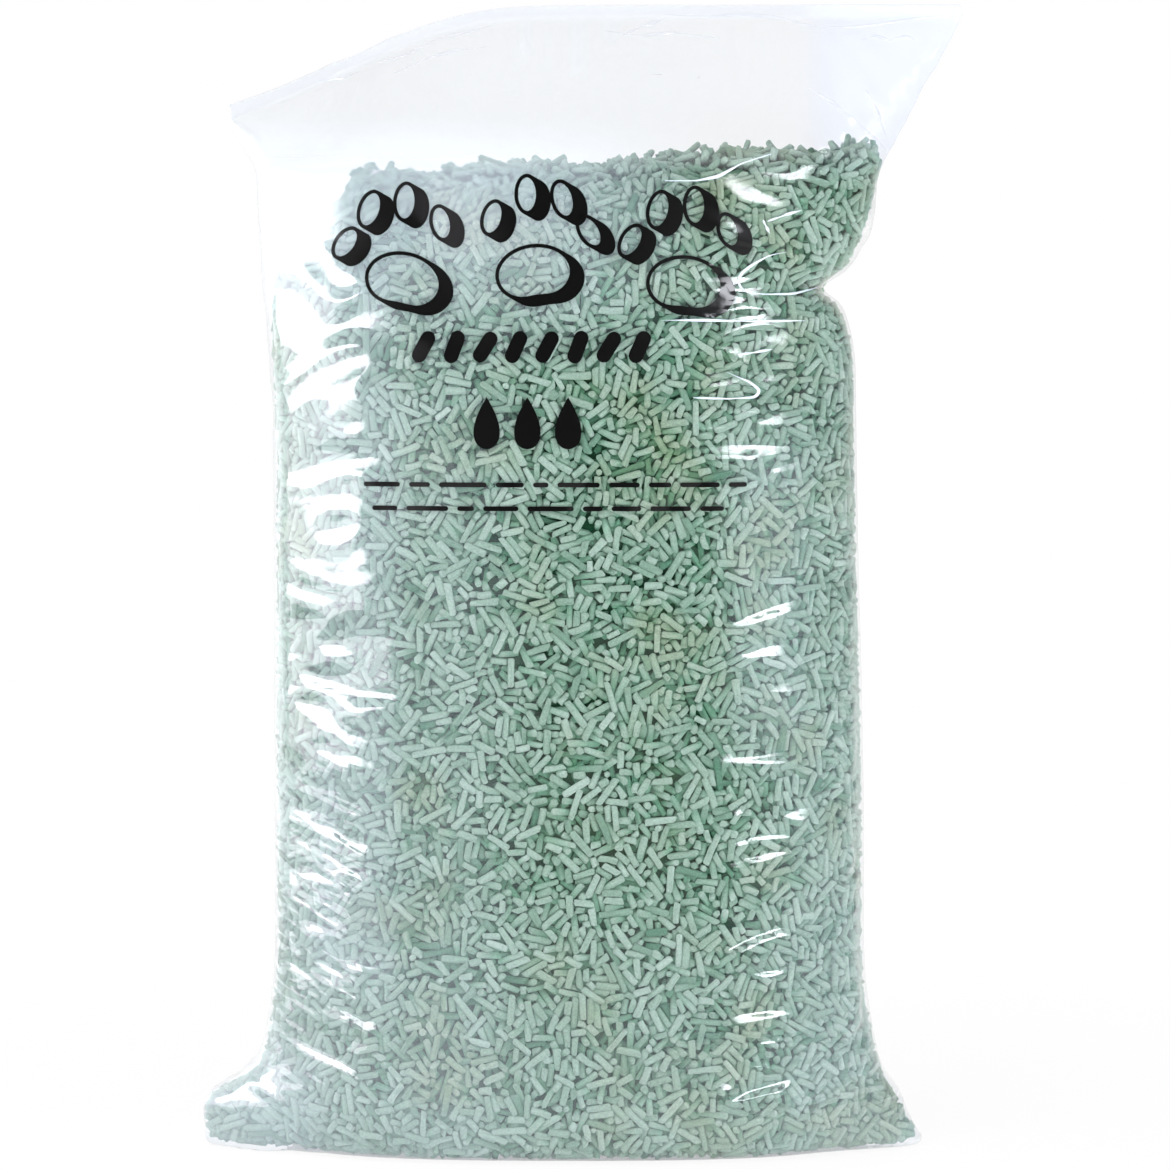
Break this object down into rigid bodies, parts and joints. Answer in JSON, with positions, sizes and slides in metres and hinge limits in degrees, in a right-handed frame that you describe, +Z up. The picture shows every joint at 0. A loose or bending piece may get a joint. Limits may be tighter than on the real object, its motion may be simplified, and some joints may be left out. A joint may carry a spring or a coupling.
{
  "type": "cat litter bag",
  "caption": "Clear film sack of green litter pellets, welded flat at both ends and standing upright, with ears at its foot and slack film above the fill.",
  "frame": {"origin": "on the floor, below the middle of the bounding box", "axes": "+Z up along the sack, +X to the right as seen from the front, +Y to the back"},
  "size_m": [0.5616, 0.22, 0.834],
  "materials": {
    "film": "clear polyethylene film, glossy, slightly hazy",
    "litter": "matt pressed pellets, pale sage green"
  },
  "bodies": {
    "root": {"film_bag": "film", "litter_fill": "litter"}
  },
  "joints": []
}
